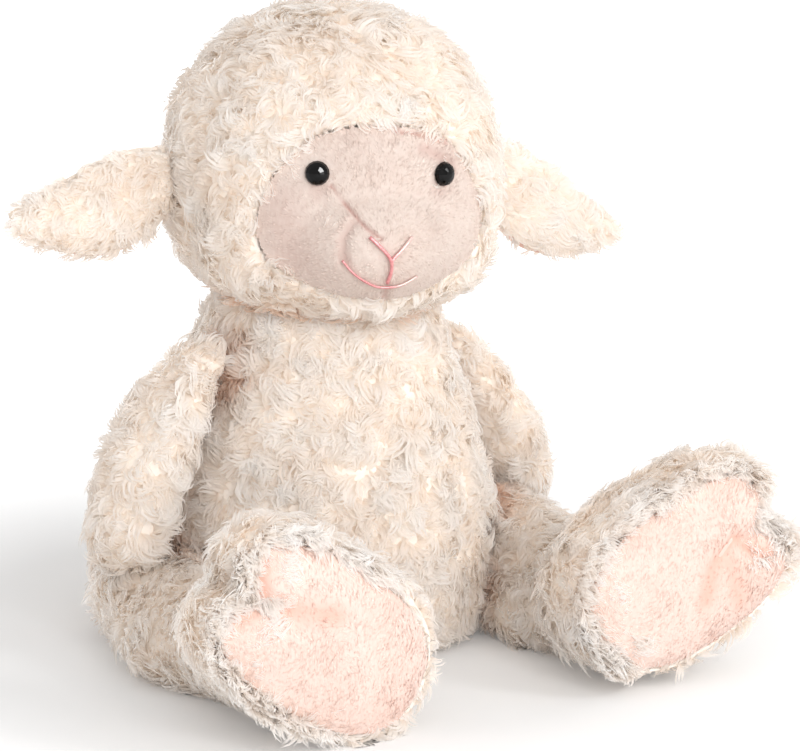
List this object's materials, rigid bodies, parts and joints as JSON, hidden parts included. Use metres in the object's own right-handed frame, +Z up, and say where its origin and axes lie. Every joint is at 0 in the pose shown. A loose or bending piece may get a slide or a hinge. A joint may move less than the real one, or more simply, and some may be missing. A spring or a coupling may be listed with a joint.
{
  "type": "plush sheep",
  "caption": "Plush sheep that sits with its legs out: curly cloth, a short-pile face and soles, floppy ears, and arms and legs that swing.",
  "frame": {"origin": "in the middle plane on the flat seat, under the neck", "axes": "+Z up, the sheep faces -Y, +X is its own left side"},
  "size_m": [0.3488, 0.3883, 0.3388],
  "materials": {
    "curly_cloth": "matte",
    "filling": "matte",
    "bag_cloth": "matte",
    "face_cloth": "matte",
    "ear_cloth": "matte",
    "sole_cloth": "matte",
    "pink_thread": "satin",
    "eye_plastic": "gloss",
    "washer_plastic": "matte"
  },
  "bodies": {
    "torso": {"body_cover": "curly_cloth", "body_filling": "filling", "pellet_bag": "bag_cloth"},
    "head": {"head_cover": "curly_cloth", "head_filling": "filling", "face_gusset": "face_cloth", "cheek_left": "face_cloth", "cheek_right": "face_cloth", "eye_left": "eye_plastic", "eye_right": "eye_plastic", "eye_washer_left": "washer_plastic", "eye_washer_right": "washer_plastic", "nose_stitching": "pink_thread", "mouth_stitching": "pink_thread"},
    "left_ear": {"ear_pile_left": "curly_cloth", "ear_lining_left": "ear_cloth"},
    "right_ear": {"ear_pile_right": "curly_cloth", "ear_lining_right": "ear_cloth"},
    "left_arm": {"arm_cover_left": "curly_cloth", "arm_filling_left": "filling"},
    "right_arm": {"arm_cover_right": "curly_cloth", "arm_filling_right": "filling"},
    "left_leg": {"leg_cover_left": "curly_cloth", "leg_filling_left": "filling", "sole_left": "sole_cloth"},
    "right_leg": {"leg_cover_right": "curly_cloth", "leg_filling_right": "filling", "sole_right": "sole_cloth"},
    "tail": {"tail": "curly_cloth"}
  },
  "joints": [
    {"name": "neck_nod", "type": "hinge", "parent": "torso", "child": "head", "pos_m": [0, 0, 0.166], "axis": [0.9848, -0.1736, 0], "range_deg": [-12, 12], "stiffness_Nm_per_rad": 1.5},
    {"name": "left_ear_flap", "type": "hinge", "parent": "head", "child": "left_ear", "pos_m": [0.08957, -0.02704, 0.24486], "axis": [0.1238, -0.0229, 0.992], "range_deg": [-25, 25], "stiffness_Nm_per_rad": 0.02},
    {"name": "right_ear_flap", "type": "hinge", "parent": "head", "child": "right_ear", "pos_m": [-0.0881, 0.00432, 0.25047], "axis": [-0.024, 0.0032, 0.9997], "range_deg": [-25, 25], "stiffness_Nm_per_rad": 0.02},
    {"name": "left_shoulder", "type": "hinge", "parent": "torso", "child": "left_arm", "pos_m": [0.081, 0.006, 0.146], "axis": [-1, 0, 0], "range_deg": [-25, 90]},
    {"name": "right_shoulder", "type": "hinge", "parent": "torso", "child": "right_arm", "pos_m": [-0.085, -0.013, 0.156], "axis": [-1, 0, 0], "range_deg": [-25, 90]},
    {"name": "left_hip", "type": "hinge", "parent": "torso", "child": "left_leg", "pos_m": [0.096, 0.004, 0.0286], "axis": [-1, 0, 0], "range_deg": [-90, 6]},
    {"name": "right_hip", "type": "hinge", "parent": "torso", "child": "right_leg", "pos_m": [-0.102, 0.004, 0.0286], "axis": [-1, 0, 0], "range_deg": [-90, 6]},
    {"name": "tail_wag", "type": "hinge", "parent": "torso", "child": "tail", "pos_m": [0, 0.14798, 0.066], "axis": [1, 0, 0], "range_deg": [-15, 15], "stiffness_Nm_per_rad": 0.01}
  ]
}
